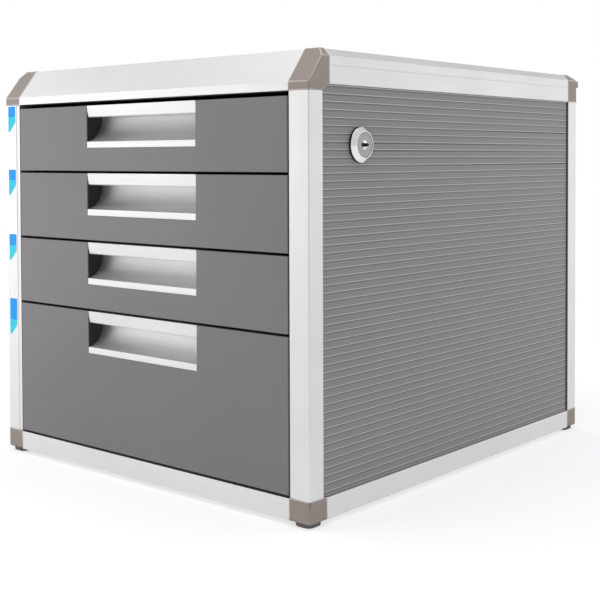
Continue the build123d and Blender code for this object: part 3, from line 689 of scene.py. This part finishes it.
buildFrameParts()
buildSideSheets()
buildDrawers()
buildLock()
buildSheetEndShadows()
buildTabs()


# Floor, lights and camera

stageSizes = {"floorRadius": 4.0, "fadeStart": 0.27, "fadeEnd": 0.75}  # metres
fadeNear = 0.6  # how far the floor has already faded beside the object
paperColour = "#fbfbfb"
white = (1.0, 1.0, 1.0, 1.0)


def seenDirectly(tree, alsoIn=None):  # 1 for rays that see the stage, 0 for those that light the object
    rays = addNode(tree, "ShaderNodeLightPath")
    seen = addNode(tree, "ShaderNodeMath", {"operation": "MAXIMUM"},
                   {0: rays.outputs["Is Camera Ray"], 1: rays.outputs["Is Transmission Ray"]})
    if alsoIn:
        seen = addNode(tree, "ShaderNodeMath", {"operation": "MAXIMUM"},
                       {0: seen.outputs["Value"], 1: rays.outputs[alsoIn]})
    return seen.outputs["Value"]


def buildFloor():
    bpy.ops.mesh.primitive_circle_add(vertices=circleSides, radius=stageSizes["floorRadius"],
                                      fill_type="NGON")
    floor = bpy.context.active_object
    floor.name = "floor"
    material, tree = newMaterial("paleFloor")  # matte white paper that fades to the plain background
    place = addNode(tree, "ShaderNodeTexCoord")
    distance = addNode(tree, "ShaderNodeVectorMath", {"operation": "LENGTH"},
                       {0: place.outputs["Object"]})
    fade = addNode(tree, "ShaderNodeMapRange", {"interpolation_type": "SMOOTHSTEP",
                                                "From Min": stageSizes["fadeStart"],
                                                "From Max": stageSizes["fadeEnd"],
                                                "To Min": fadeNear},
                   {"Value": distance.outputs["Value"]})
    seenFade = addNode(tree, "ShaderNodeMath", {"operation": "MULTIPLY"},
                       {0: seenDirectly(tree, "Is Glossy Ray"), 1: fade.outputs["Result"]})
    paper = addNode(tree, "ShaderNodeBsdfDiffuse", {"Color": toLinear(paperColour)})
    glow = addNode(tree, "ShaderNodeEmission", {"Color": white, "Strength": 1.0})
    mix = addNode(tree, "ShaderNodeMixShader",
                  links={0: seenFade.outputs["Value"], 1: paper.outputs["BSDF"],
                         2: glow.outputs["Emission"]})
    finishMaterial(tree, mix.outputs["Shader"])
    floor.data.materials.append(material)


worldLight = {"seen": 1.0, "lighting": 0.74}


def buildWorld():
    world = bpy.data.worlds.new("studio")
    bpy.context.scene.world = world
    world.use_nodes = True
    tree = world.node_tree
    tree.nodes.clear()
    strength = rangeOf(tree, seenDirectly(tree), worldLight["lighting"], worldLight["seen"])
    background = addNode(tree, "ShaderNodeBackground", {"Color": white}, {"Strength": strength})
    addNode(tree, "ShaderNodeOutputWorld", links={"Surface": background.outputs["Background"]})


lamps = {  # place and target in metres, size in metres, power in watts
    "keyLamp": {"place": (-0.8, -0.5, 0.2), "target": (0.0, -0.1, 0.12), "size": 1.15, "power": 4.4},
    "rearLamp": {"place": (1.0, 1.5, 0.2), "target": (0.0, 0.0, 0.08), "size": 1.6, "power": 4.5},
    "topLamp": {"place": (0.0, -0.4, 2.4), "target": (0.0, 0.0, 0.0), "size": 2.4, "power": 30.0},
}


def buildLamps():
    for name, lamp in lamps.items():
        bpy.ops.object.light_add(type="AREA", location=lamp["place"])
        light = bpy.context.active_object
        light.name = name
        light.data.shape = "SQUARE"
        light.data.size = lamp["size"]
        light.data.energy = lamp["power"]
        light.visible_camera = False
        towards = Vector(lamp["target"]) - Vector(lamp["place"])
        light.rotation_euler = towards.to_track_quat("-Z", "Y").to_euler()


view = {  # found by fitting the cabinet's edges, in metres and degrees; the drop frames the photograph
    "place": (0.58596, -0.68921, 0.22344),
    "yaw": 40.519,
    "pitch": 1.565,
    "roll": -0.196,
    "focal": 1137.65,  # in pixels of a 600 pixel wide picture
    "pictureWidth": 600,
    "principalDrop": 110.66,
    "sensor": 36.0,
}


def buildCamera():
    bpy.ops.object.camera_add(location=view["place"])
    camera = bpy.context.active_object
    camera.name = "photographView"
    turn = (Matrix.Rotation(math.radians(view["yaw"]), 3, "Z")
            @ Matrix.Rotation(math.radians(90 - view["pitch"]), 3, "X")
            @ Matrix.Rotation(math.radians(view["roll"]), 3, "Z"))
    camera.rotation_euler = turn.to_euler()
    camera.data.sensor_width = view["sensor"]
    camera.data.lens = view["focal"] / view["pictureWidth"] * view["sensor"]
    camera.data.shift_y = -view["principalDrop"] / view["pictureWidth"]
    bpy.context.scene.camera = camera


buildFloor()
buildWorld()
buildLamps()
buildCamera()
bpy.context.scene.view_settings.view_transform = "Standard"
print("stage, lamps and camera ready")

bpy.ops.object.select_all(action="DESELECT")
